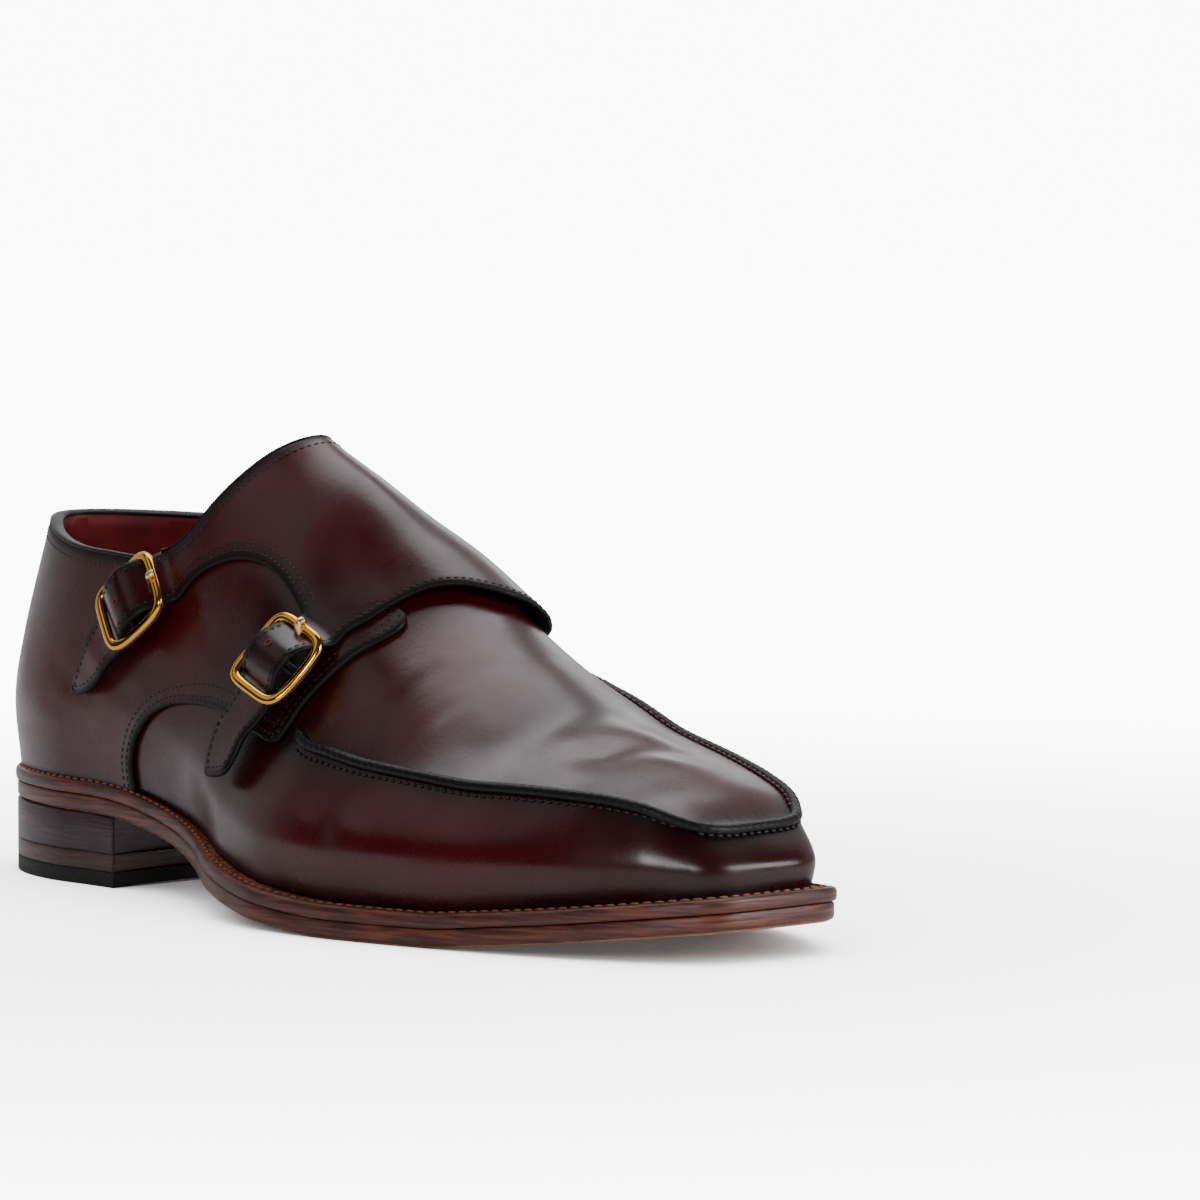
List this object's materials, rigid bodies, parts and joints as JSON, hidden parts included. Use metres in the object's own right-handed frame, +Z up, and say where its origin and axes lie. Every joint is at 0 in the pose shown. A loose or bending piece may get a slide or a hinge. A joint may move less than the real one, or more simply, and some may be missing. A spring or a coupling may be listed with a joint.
{
  "type": "double monk strap shoe",
  "caption": "Low leather shoe for a right foot with an apron toe, a broad flap over the instep fastened by two straps and buckles, a leather sole and a stacked heel.",
  "frame": {"origin": "on the floor, under the middle of the whole shoe's length and width", "axes": "+X from the heel to the toe, +Y to the wearer's left (the inner side of this right shoe), +Z up"},
  "size_m": [0.3054, 0.109, 0.126],
  "materials": {
    "calf": "burnished and polished",
    "dark_calf": "burnished nearly black",
    "lining": "matt",
    "sole_leather": "waxed edge",
    "heel_stack": "waxed edge",
    "top_piece": "matt",
    "gold_metal": "polished"
  },
  "bodies": {
    "root": {"upper": "calf", "lateral_quarter": "calf", "medial_quarter_and_flap": "calf", "apron_seam": "dark_calf", "insole": "lining", "welt": "sole_leather", "outsole": "sole_leather", "heel_block": "heel_stack", "heel_lift": "sole_leather", "heel_top_piece": "top_piece", "buckle_front": "gold_metal", "buckle_prong_front": "gold_metal", "buckle_tab_front": "dark_calf", "buckle_rear": "gold_metal", "buckle_prong_rear": "gold_metal", "buckle_tab_rear": "dark_calf"}
  },
  "joints": []
}
